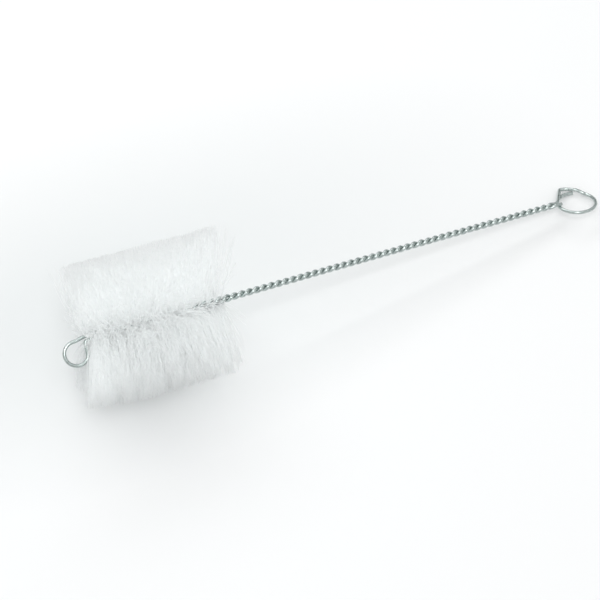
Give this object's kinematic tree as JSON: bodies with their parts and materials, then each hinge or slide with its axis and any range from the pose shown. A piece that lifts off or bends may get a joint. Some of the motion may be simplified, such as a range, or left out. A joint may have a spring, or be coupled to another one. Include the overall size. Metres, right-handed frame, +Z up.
{
  "type": "bottle brush",
  "caption": "Wire-handled brush for washing lab bottles: a round head of clear nylon filaments held in a twisted wire stem that ends in a finger ring, lying as it comes to rest",
  "frame": {"origin": "on the surface that the brush lies on, under the middle of its overall box", "axes": "+X from the tip of the brush to the finger ring, +Y to the left seen from the tip, +Z up"},
  "size_m": [0.3236, 0.0818, 0.0859],
  "materials": {
    "wire": "bright zinc coating, drawn wire",
    "bristles": "loose nylon filaments, milky clear"
  },
  "bodies": {
    "root": {"wire": "wire", "bristles": "bristles"}
  },
  "joints": []
}
